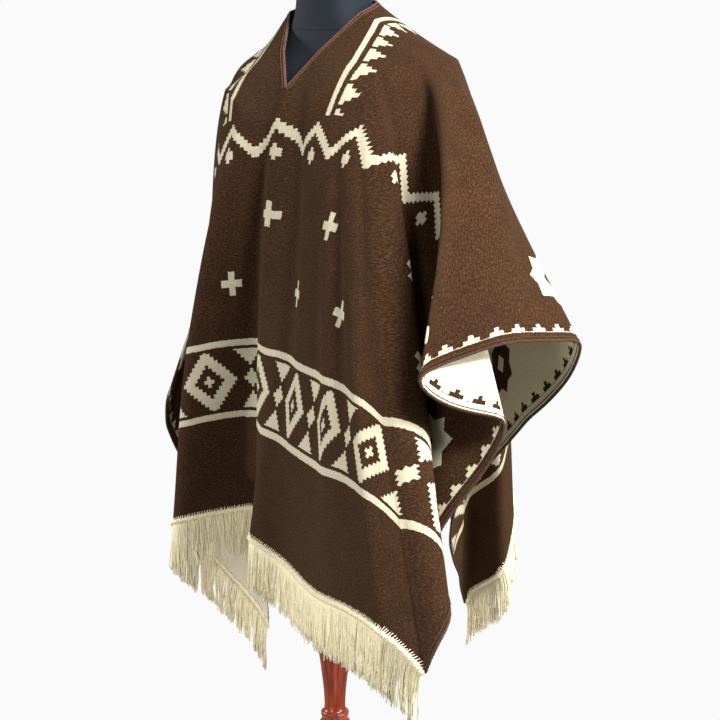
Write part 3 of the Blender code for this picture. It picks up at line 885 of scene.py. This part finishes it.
# %% Fibre group
fibres, fibres_in, fibres_out = start_group(
    "wool_fibres",
    [("Vector", "NodeSocketVector", None),
     ("Tone", "NodeSocketColor", (0.1, 0.05, 0.03, 1)),
     ("Dark Tone", "NodeSocketColor", (0.03, 0.02, 0.01, 1)),
     ("Warm Tone", "NodeSocketColor", (0.2, 0.09, 0.05, 1)),
     ("Size", "NodeSocketFloat", 1.0)],
    [("Color", "NodeSocketColor"), ("Height", "NodeSocketFloat")])
fibre_place = fibres_in.outputs["Vector"]
fibre_size = fibres_in.outputs["Size"]
fine = stretched_noise(fibres, fibre_place, fibre_size, scale=1250, stretch=0.40, detail=3)
middle = stretched_noise(fibres, fibre_place, fibre_size, scale=560, stretch=0.36, detail=3)
broad = stretched_noise(fibres, fibre_place, fibre_size, scale=30, stretch=0.7, detail=4)
toned = mixed(
    fibres, ranged(fibres, fine, 0.40, 0.60, 0.0, 0.9),
    fibres_in.outputs["Dark Tone"], fibres_in.outputs["Tone"])
toned = mixed(
    fibres, ranged(fibres, middle, 0.46, 0.74, 0.0, 0.60), toned, fibres_in.outputs["Warm Tone"])
toned = mixed(
    fibres, ranged(fibres, broad, 0.35, 0.7, 0.0, 0.32), toned, fibres_in.outputs["Dark Tone"])
fibres.links.new(toned, fibres_out.inputs["Color"])
height = calc(
    fibres, "ADD", calc(fibres, "MULTIPLY", fine, 0.6), calc(fibres, "MULTIPLY", middle, 0.7))
fibres.links.new(height, fibres_out.inputs["Height"])
print("fibre nodes", len(fibres.nodes))


# %% Helpers for colours and materials
def linear(red, green, blue):
    """A colour given as it looks on screen, 0 to 255, in the shader's linear light."""
    def channel(value):
        value /= 255
        return value / 12.92 if value <= 0.04045 else ((value + 0.055) / 1.055) ** 2.4
    return (channel(red), channel(green), channel(blue), 1)


def new_material(name):
    """An empty Principled material. Gives it, its tree and its shader."""
    made = bpy.data.materials.new(name)
    made.use_nodes = True
    return made, made.node_tree, made.node_tree.nodes["Principled BSDF"]


def add_bump(tree, shader, height, strength, distance):
    """A Bump node into the shader's normal."""
    bump = tree.nodes.new("ShaderNodeBump")
    set_inputs(bump, Strength=strength, Distance=distance)
    tree.links.new(height, bump.inputs["Height"])
    tree.links.new(bump.outputs["Normal"], shader.inputs["Normal"])


# %% Cloth material
wool, wool_tree, wool_shader = new_material("double_faced_wool")
place_node = wool_tree.nodes.new("ShaderNodeAttribute")
place_node.attribute_name = "flat_place"
design_node = place_group(wool_tree, design, Flat_Place=place_node.outputs["Vector"])
face_split = wool_tree.nodes.new("ShaderNodeSeparateXYZ")
wool_tree.links.new(place_node.outputs["Vector"], face_split.inputs["Vector"])
inner_face = calc(wool_tree, "GREATER_THAN", face_split.outputs["Z"], 0.5)
light_yarn = calc(
    wool_tree, "ABSOLUTE", calc(wool_tree, "SUBTRACT", design_node.outputs["Motif"], inner_face))

brown = place_group(
    wool_tree, fibres, Vector=place_node.outputs["Vector"],
    Tone=linear(60, 38, 23), Dark_Tone=linear(25, 14, 8), Warm_Tone=linear(100, 72, 48))
cream = place_group(
    wool_tree, fibres, Vector=place_node.outputs["Vector"],
    Tone=linear(228, 222, 202), Dark_Tone=linear(196, 186, 160), Warm_Tone=linear(240, 236, 220))
# Painted light: the one cream yarn is painted lighter on the inner face (252) than in the outer face's
# motifs (222), which lifts the shaded inside of the cloth.
inner_face_painted_lighter = mixed(wool_tree, inner_face, linear(222, 220, 212), linear(252, 252, 248))
cream_here = mixed(wool_tree, 1.0, cream.outputs["Color"], inner_face_painted_lighter, "MULTIPLY")
cloth_colour = mixed(wool_tree, light_yarn, brown.outputs["Color"], cream_here)
wool_tree.links.new(cloth_colour, wool_shader.inputs["Base Color"])
set_inputs(
    wool_shader, Roughness=0.92, Specular_IOR_Level=0.05, Sheen_Weight=0.06,
    Sheen_Roughness=0.55, Sheen_Tint=linear(204, 168, 122))
raised_motif = calc(wool_tree, "MULTIPLY", light_yarn, 0.25)
motif_height = calc(wool_tree, "ADD", brown.outputs["Height"], raised_motif)
add_bump(wool_tree, wool_shader, motif_height, strength=0.8, distance=0.0016)
poncho_cloth.data.materials.append(wool)
print("wool ready")


# %% [markdown]
# ## Yarns
# The fringe, the braid at its root and the overcast edges are all yarn. A
# yarn is a thin tube that follows a path, so one function makes many tubes at
# once from arrays: paths, a sideways direction, and a radius that can swell
# and shrink along the path and round it, which is how a twisted cord looks.

# %% Tube maker
STRAND_SWELL = 0.22


def tubes(paths, aside, radii, sides, twist=None):
    """Vertices and faces of many capped tubes.

    paths is (tubes, points, 3); aside is a unit direction across each point;
    radii is (tubes, points); twist is an angle for each point that turns a
    two-strand swelling round the cord.
    """
    count, length, _ = paths.shape
    tangent = np.gradient(paths, axis=1)
    tangent /= np.linalg.norm(tangent, axis=2, keepdims=True)
    aside = aside - tangent * np.sum(aside * tangent, axis=2, keepdims=True)
    aside /= np.linalg.norm(aside, axis=2, keepdims=True)
    across = np.cross(tangent, aside)
    angle = np.linspace(0, 2 * math.pi, sides, endpoint=False)
    swell = np.ones((count, length, sides))
    if twist is not None:
        swell += STRAND_SWELL * np.cos(2 * (angle[None, None, :] - twist[:, :, None]))
    reach = radii[:, :, None] * swell
    points = (
        paths[:, :, None, :]
        + aside[:, :, None, :] * (np.cos(angle) * reach)[..., None]
        + across[:, :, None, :] * (np.sin(angle) * reach)[..., None])
    index = np.arange(count * length * sides).reshape(count, length, sides)
    low, high = index[:, :-1], index[:, 1:]
    quads = np.stack(
        [low, np.roll(low, -1, axis=2), np.roll(high, -1, axis=2), high], axis=-1).reshape(-1, 4)
    faces = quads.tolist()
    faces += index[:, 0, ::-1].tolist()
    faces += index[:, -1].tolist()
    return points.reshape(-1, 3), faces


# %% Join tubes into one piece
def joined(name, parts, finish):
    """One smooth object from several sets of vertices and faces."""
    vertices, faces, start = [], [], 0
    for part_vertices, part_faces in parts:
        vertices.append(part_vertices)
        faces += [[start + k for k in face] for face in part_faces]
        start += len(part_vertices)
    made = flat_object(name, np.concatenate(vertices), faces)
    made.data.shade_smooth()
    made.data.materials.append(finish)
    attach(made, "root")
    print(name, "faces", len(faces))
    return made


# %% The cloth's edges as frames
EdgeFrame = namedtuple("EdgeFrame", "point along outward normal flat")


def edge_frame(columns_wanted, ring):
    """Points and directions along one edge of the cloth."""
    point = grid[columns_wanted, ring]
    normal = normals[columns_wanted, ring]
    along = np.gradient(point, axis=0)
    along /= np.linalg.norm(along, axis=1, keepdims=True)
    outward = np.cross(along, normal)
    outward /= np.linalg.norm(outward, axis=1, keepdims=True)
    inner_ring = -3 if ring == -1 else ring + 2
    away = point - grid[columns_wanted, inner_ring]
    outward *= np.sign(np.sum(outward * away, axis=1, keepdims=True))
    return EdgeFrame(point, along, outward, normal, flat[columns_wanted, ring])


def columns_between(start, end):
    """Column numbers whose edge place lies between two distances."""
    return [i for i, place in enumerate(places) if start - 1e-6 <= place <= end + 1e-6]


front_hem = edge_frame(columns_between(CORNER_4, PERIMETER) + columns_between(0, CORNER_1), -1)
back_hem = edge_frame(columns_between(CORNER_2, CORNER_3), -1)
left_side = edge_frame(columns_between(CORNER_1, CORNER_2), -1)
right_side = edge_frame(columns_between(CORNER_3, CORNER_4), -1)
print("hem columns", len(front_hem.point), len(back_hem.point))


def resampled(frame_rows, stations, wanted):
    """An edge frame read at other places along it."""
    def read(values):
        return np.column_stack([np.interp(wanted, stations, column) for column in values.T])
    return EdgeFrame(*[read(values) for values in frame_rows])


def run_length(points):
    """Distance along a line of points."""
    return np.concatenate([[0], np.cumsum(np.linalg.norm(np.diff(points, axis=0), axis=1))])


# %% Yarn materials
def yarn_material(name, tone, dark, warm, size, sheen):
    """Twisted wool yarn in one main tone."""
    made, tree, shader = new_material(name)
    texture_place = tree.nodes.new("ShaderNodeTexCoord")
    wool_fibre = place_group(
        tree, fibres, Vector=texture_place.outputs["Object"],
        Tone=tone, Dark_Tone=dark, Warm_Tone=warm, Size=size)
    tree.links.new(wool_fibre.outputs["Color"], shader.inputs["Base Color"])
    set_inputs(shader, Roughness=0.85, Specular_IOR_Level=0.2, Sheen_Weight=sheen)
    add_bump(tree, shader, wool_fibre.outputs["Height"], strength=0.4, distance=0.0006)
    return made


cream_yarn = yarn_material(
    "cream_fringe_yarn", linear(242, 235, 205), linear(220, 207, 166), linear(248, 243, 222),
    size=0.6, sheen=0.1)
brown_yarn = yarn_material(
    "brown_edge_yarn", linear(70, 46, 29), linear(42, 27, 17), linear(100, 70, 44),
    size=1.0, sheen=0.05)
neck_yarn = yarn_material(
    "rose_brown_yarn", linear(98, 66, 50), linear(64, 42, 31), linear(126, 90, 70),
    size=1.0, sheen=0.05)
print("yarns", cream_yarn.name, brown_yarn.name, neck_yarn.name)

# %% [markdown]
# ## Fringe and braid
# The warp ends are knotted off under a cream cord, whipped to the cloth with
# slanting stitches, and hang below it as a dense loose fringe. Every yarn is
# a strand of its own: it leaves the cloth in the cloth's own direction, bends
# to hang straight, leans into a loose lock with its neighbours and ends at
# its own length.

# %% Fringe maker
YARN_SPACING = 0.0018
YARN_LENGTH = 0.072
YARN_RADIUS = 0.00092
YARN_POINTS = 8
YARN_SIDES = 4
YARN_TAPER = 0.25
YARN_BEND = 0.010
ROOT_DROP = 0.0012
ROOT_APART = 0.0009
HEM_END_GAP = 0.002
LOCK_WIDTH = 0.011
LOCK_PULL = 0.5
UNEVEN_SPACING = 0.0004
UNEVEN_LENGTH = 0.04
UNEVEN_LEAN = 0.0030
UNEVEN_OUT = 0.0016


def yarn_fringe(edge):
    """Two rows of loose yarns below a hem."""
    parts = []
    order = np.argsort(edge.flat[:, 0])
    rows = EdgeFrame(*[values[order] for values in edge])
    u_low, u_high = rows.flat[0, 0], rows.flat[-1, 0]
    for layer in (-1, 1):
        wanted = np.arange(u_low + HEM_END_GAP, u_high - HEM_END_GAP, YARN_SPACING)
        wanted = wanted + rng.normal(0, UNEVEN_SPACING, len(wanted))
        at = resampled(rows, rows.flat[:, 0], wanted)
        number = len(wanted)
        t = np.linspace(0, 1, YARN_POINTS)[None, :, None]
        lock = np.floor(wanted / LOCK_WIDTH + 0.3 * layer)
        lock_lean = np.sin(lock * 2.4) * 0.006 + np.sin(lock * 5.1) * 0.004
        into_lock = ((lock + 0.5) * LOCK_WIDTH - wanted) * LOCK_PULL
        lean = (lock_lean + into_lock + rng.normal(0, UNEVEN_LEAN, number))[:, None, None]
        uneven = 0.03 * np.sin(lock * 1.3)
        length = YARN_LENGTH * (1 + uneven + rng.normal(0, UNEVEN_LENGTH, number))
        length = length[:, None, None]
        phase = rng.uniform(0, 2 * math.pi, number)[:, None, None]
        sway = 0.0018 * np.sin(phase + 5.5 * t) * t + 0.0011 * np.sin(2 * phase + 13 * t) * t
        start = at.point + at.outward * ROOT_DROP + at.normal * (ROOT_APART * layer)
        down = np.array([0, 0, -1.0])
        turned = YARN_BEND * (1 - np.exp(-t * 5))
        path = start[:, None, :] + at.outward[:, None, :] * turned
        path = path + down * (t * length - turned * 0.6)
        path = path + at.along[:, None, :] * (lean * t**1.4 + sway)
        out_lean = rng.normal(0.001 * layer, UNEVEN_OUT, number)[:, None, None]
        path = path + at.normal[:, None, :] * (out_lean * t + 0.0007 * np.cos(phase + 7 * t) * t)
        radii = np.full((number, YARN_POINTS), YARN_RADIUS) * (1 - YARN_TAPER * t[:, :, 0])
        aside = np.repeat(at.along[:, None, :], YARN_POINTS, axis=1)
        parts.append(tubes(path, aside, radii, YARN_SIDES))
    return parts


# %% Braid maker
CORD_RADIUS = 0.0038
CORD_DROP = 0.0028
CORD_LAY = 0.011
CORD_STEP = 0.0015
CORD_SIDES = 10
STITCH_SPACING = 0.0041
STITCH_RADIUS = 0.0008
STITCH_POINTS = 7
STITCH_SIDES = 5
STITCH_START = 0.0062
STITCH_REACH = 0.0058
STITCH_SLANT = 0.0034
STITCH_LIFT = 0.0018
CORD_HUMP = 0.0027
HUMP_PLACE = 0.24
STITCH_SINK = 0.0012


def hem_braid(edge):
    """A twisted cord on the hem's edge and slanting whip stitches over it."""
    run = run_length(edge.point)
    wanted = np.arange(0, run[-1], CORD_STEP)
    at = resampled(edge, run, wanted)
    path = (at.point + at.outward * CORD_DROP)[None]
    radii = np.full((1, len(wanted)), CORD_RADIUS)
    twist = (wanted * 2 * math.pi / CORD_LAY)[None]
    parts = [tubes(path, at.normal[None], radii, CORD_SIDES, twist)]
    wanted = np.arange(0.002, run[-1] - 0.004, STITCH_SPACING)
    wanted = wanted + rng.normal(0, 0.0003, len(wanted))
    at = resampled(edge, run, wanted)
    t = np.linspace(0, 1, STITCH_POINTS)[None, :, None]
    for face in (-1, 1):
        reach = STITCH_REACH + rng.normal(0, 0.0005, len(wanted))[:, None, None]
        across = at.outward[:, None, :] * (STITCH_START - (reach + STITCH_START) * t)
        along = at.along[:, None, :] * (STITCH_SLANT * t)
        hump = CORD_HUMP * np.exp(-((t - HUMP_PLACE) / HUMP_PLACE) ** 2)
        proud = STITCH_LIFT + hump - STITCH_SINK * t**4
        path = at.point[:, None, :] + across + along + at.normal[:, None, :] * face * proud
        radii = np.full((len(wanted), STITCH_POINTS), STITCH_RADIUS) * (1 - 0.35 * t[:, :, 0]**3)
        aside = np.repeat(at.along[:, None, :], STITCH_POINTS, axis=1)
        parts.append(tubes(path, aside, radii, STITCH_SIDES))
    return parts


# %% Lay both on the two hems
front_yarns = joined("front_yarn_fringe", yarn_fringe(front_hem), cream_yarn)
back_yarns = joined("back_yarn_fringe", yarn_fringe(back_hem), cream_yarn)
front_braid = joined("front_hem_braid", hem_braid(front_hem), cream_yarn)
back_braid = joined("back_hem_braid", hem_braid(back_hem), cream_yarn)
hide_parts("front_fringe")
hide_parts("back_fringe")

# %% [markdown]
# ## Overcast edges
# The sides and the neck are cut or selvedge edges bound with yarn: a tight
# cord rolls over the raw edge, and a row of stitches shows a little way in on
# both faces. On the real cloth this reads as two fine parallel lines.

# %% Edge cords
EDGE_RADIUS = 0.0021
LINE_RADIUS = 0.0008
LINE_INSET = 0.0050
EDGE_LAY = 0.009
EDGE_STEP = 0.0018
EDGE_SIDES = 8
LINE_SIDES = 6
BEAD_SWELL = 0.25
BEAD_SPACING = 0.0072


def edge_cords(edge):
    """A twisted cord over an edge, and a fine stitched line on each face."""
    run = run_length(edge.point)
    wanted = np.arange(0, run[-1], EDGE_STEP)
    at = resampled(edge, run, wanted)
    twist = (wanted * 2 * math.pi / EDGE_LAY)[None]
    beads = 1 + BEAD_SWELL * np.cos(wanted * 2 * math.pi / BEAD_SPACING)
    cord_path = (at.point - at.outward * 0.0002)[None]
    cord_radii = np.full((1, len(wanted)), EDGE_RADIUS)
    parts = [tubes(cord_path, at.normal[None], cord_radii, EDGE_SIDES, twist)]
    for face in (-1, 1):
        lift = at.normal * face * (CLOTH_THICKNESS / 2 + 0.0001)
        path = at.point - at.outward * LINE_INSET + lift
        line_radii = (LINE_RADIUS * beads)[None]
        parts.append(tubes(path[None], at.normal[None], line_radii, LINE_SIDES))
    return parts


left_edge = joined("left_side_overcast", edge_cords(left_side), brown_yarn)
right_edge = joined("right_side_overcast", edge_cords(right_side), brown_yarn)
all_round = list(range(len(places))) + [0]
neck_frame = edge_frame(all_round, 0)
neck_edge_cord = joined("neck_overcast", edge_cords(neck_frame), neck_yarn)

# %% [markdown]
# ## Jersey
# The form's cover is a fine navy-black knit. At this distance it shows only
# as a soft dark surface with a fine grain, and one faint seam round the base
# of the neck, which is a thin raised line on the form.

# %% Jersey material and form
jersey, jersey_tree, jersey_shader = new_material("navy_black_jersey")
jersey_place = jersey_tree.nodes.new("ShaderNodeTexCoord")
jersey_noise = noise_node(jersey_tree, jersey_place.outputs["Object"], Scale=900, Detail=2)
jersey_colour = mixed(
    jersey_tree, jersey_noise.outputs["Fac"], linear(10, 15, 22), linear(19, 27, 37))
jersey_tree.links.new(jersey_colour, jersey_shader.inputs["Base Color"])
set_inputs(jersey_shader, Roughness=0.75, Specular_IOR_Level=0.2, Sheen_Weight=0.04)
add_bump(
    jersey_tree, jersey_shader, jersey_noise.outputs["Fac"], strength=0.3, distance=0.0005)
form_cover.data.materials.append(jersey)
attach(form_cover, "root")
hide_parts("form_torso")
print("jersey on", form_cover.name)

# %% Seam round the base of the neck
SEAM_HEIGHT = 1.395
SEAM_RADIUS = 0.0009
SEAM_SIDES = 6
seam_row = [np.interp(SEAM_HEIGHT, form_rows[:, 0], form_rows[:, k]) for k in range(4)]
seam_line = form_ring(seam_row)
seam_line = np.vstack([seam_line, seam_line[:1]])[None]
seam_up = np.zeros_like(seam_line)
seam_up[..., 2] = 1.0
seam_radii = np.full(seam_line.shape[:2], SEAM_RADIUS)
seam_tube = tubes(seam_line, seam_up, seam_radii, SEAM_SIDES)
joined("neck_seam", [seam_tube], jersey)

# %% [markdown]
# ## Polished wood
# The post is turned from a reddish hardwood and lacquered. Its grain runs up
# the post, and the lacquer gives a hard highlight over the softer colour
# below, which is what the shader's coat is for.

# %% Wood material
wood, wood_tree, wood_shader = new_material("red_turned_wood")
wood_place = wood_tree.nodes.new("ShaderNodeTexCoord")
wood_mapping = wood_tree.nodes.new("ShaderNodeMapping")
wood_mapping.inputs["Scale"].default_value = (1.0, 1.0, 0.07)
wood_tree.links.new(wood_place.outputs["Object"], wood_mapping.inputs["Vector"])
along_grain = wood_mapping.outputs["Vector"]
grain = noise_node(wood_tree, along_grain, Scale=170, Detail=5, Roughness=0.6)
figure = noise_node(wood_tree, along_grain, Scale=26, Detail=3)
wood_colour = mixed(
    wood_tree, ranged(wood_tree, grain.outputs["Fac"], 0.35, 0.65, 0.0, 1.0),
    linear(92, 27, 9), linear(146, 56, 19))
wood_colour = mixed(
    wood_tree, ranged(wood_tree, figure.outputs["Fac"], 0.45, 0.7, 0.0, 0.7),
    wood_colour, linear(70, 22, 12))
wood_tree.links.new(wood_colour, wood_shader.inputs["Base Color"])
set_inputs(
    wood_shader, Roughness=0.38, Specular_IOR_Level=0.2, Coat_Weight=0.8, Coat_Roughness=0.08)
add_bump(wood_tree, wood_shader, grain.outputs["Fac"], strength=0.06, distance=0.0005)
print("wood nodes", len(wood_tree.nodes))

# %% Outlines of the base and the post
TurnedRow = namedtuple("TurnedRow", "radius z")
BASE_ROWS = [
    TurnedRow(0.184, 0.000),
    TurnedRow(0.190, 0.004),
    TurnedRow(0.190, 0.018),
    TurnedRow(0.182, 0.024),
    TurnedRow(0.172, 0.026),
    TurnedRow(0.150, 0.031),
    TurnedRow(0.110, 0.038),
    TurnedRow(0.070, 0.047),
    TurnedRow(0.050, 0.058),
    TurnedRow(0.044, 0.070),
]
POST_ROWS = [
    TurnedRow(0.040, 0.070),
    TurnedRow(0.041, 0.078),
    TurnedRow(0.034, 0.084),
    TurnedRow(0.024, 0.096),
    TurnedRow(0.020, 0.112),
    TurnedRow(0.024, 0.135),
    TurnedRow(0.032, 0.165),
    TurnedRow(0.037, 0.200),
    TurnedRow(0.037, 0.235),
    TurnedRow(0.033, 0.268),
    TurnedRow(0.027, 0.286),
    TurnedRow(0.021, 0.296),
    TurnedRow(0.022, 0.302),
    TurnedRow(0.022, 0.308),
    TurnedRow(0.017, 0.314),
    TurnedRow(0.018, 0.345),
    TurnedRow(0.022, 0.380),
    TurnedRow(0.026, 0.412),
    TurnedRow(0.0275, 0.440),
    TurnedRow(0.027, 0.480),
    TurnedRow(0.024, 0.540),
    TurnedRow(0.020, 0.600),
    TurnedRow(0.018, 0.640),
    TurnedRow(0.026, 0.652),
    TurnedRow(0.027, 0.660),
    TurnedRow(0.021, 0.668),
    TurnedRow(0.040, 0.680),
    TurnedRow(0.060, 0.688),
]
print(len(BASE_ROWS), "base rows and", len(POST_ROWS), "post rows")

# %% Turned pieces
TURNED_SIDES = 96
TURNED_ROWS_BETWEEN = 5
TURNED_SHARP = math.radians(40)
POST_TOP = 0.6997
POST_LIFT = 0.0003


def turned_piece(name, rows, node):
    """A smooth turned solid from its outline, in place of a CAD node."""
    outline = smooth_rows(rows, TURNED_ROWS_BETWEEN)
    angle = np.linspace(0, 2 * math.pi, TURNED_SIDES, endpoint=False)
    rings = [np.column_stack([r * np.cos(angle), r * np.sin(angle), np.full(TURNED_SIDES, z)])
             for r, z in outline]
    made = flat_object(name, *ring_stack(rings))
    made.data.shade_smooth()
    made.data.set_sharp_from_angle(angle=TURNED_SHARP)
    made.data.materials.append(wood)
    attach(made, "root")
    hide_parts(node)
    print(name, "rows", len(outline))


turned_piece("turned_base", BASE_ROWS, "stand_base")
post_rows = [(row.radius, row.z + POST_LIFT) for row in POST_ROWS]
post_rows.append((POST_ROWS[-1].radius, POST_TOP))
turned_piece("turned_post", post_rows, "stand_post")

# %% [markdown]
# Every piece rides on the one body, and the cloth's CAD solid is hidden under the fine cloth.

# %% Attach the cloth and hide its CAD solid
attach(poncho_cloth, "root")
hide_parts("poncho_body")
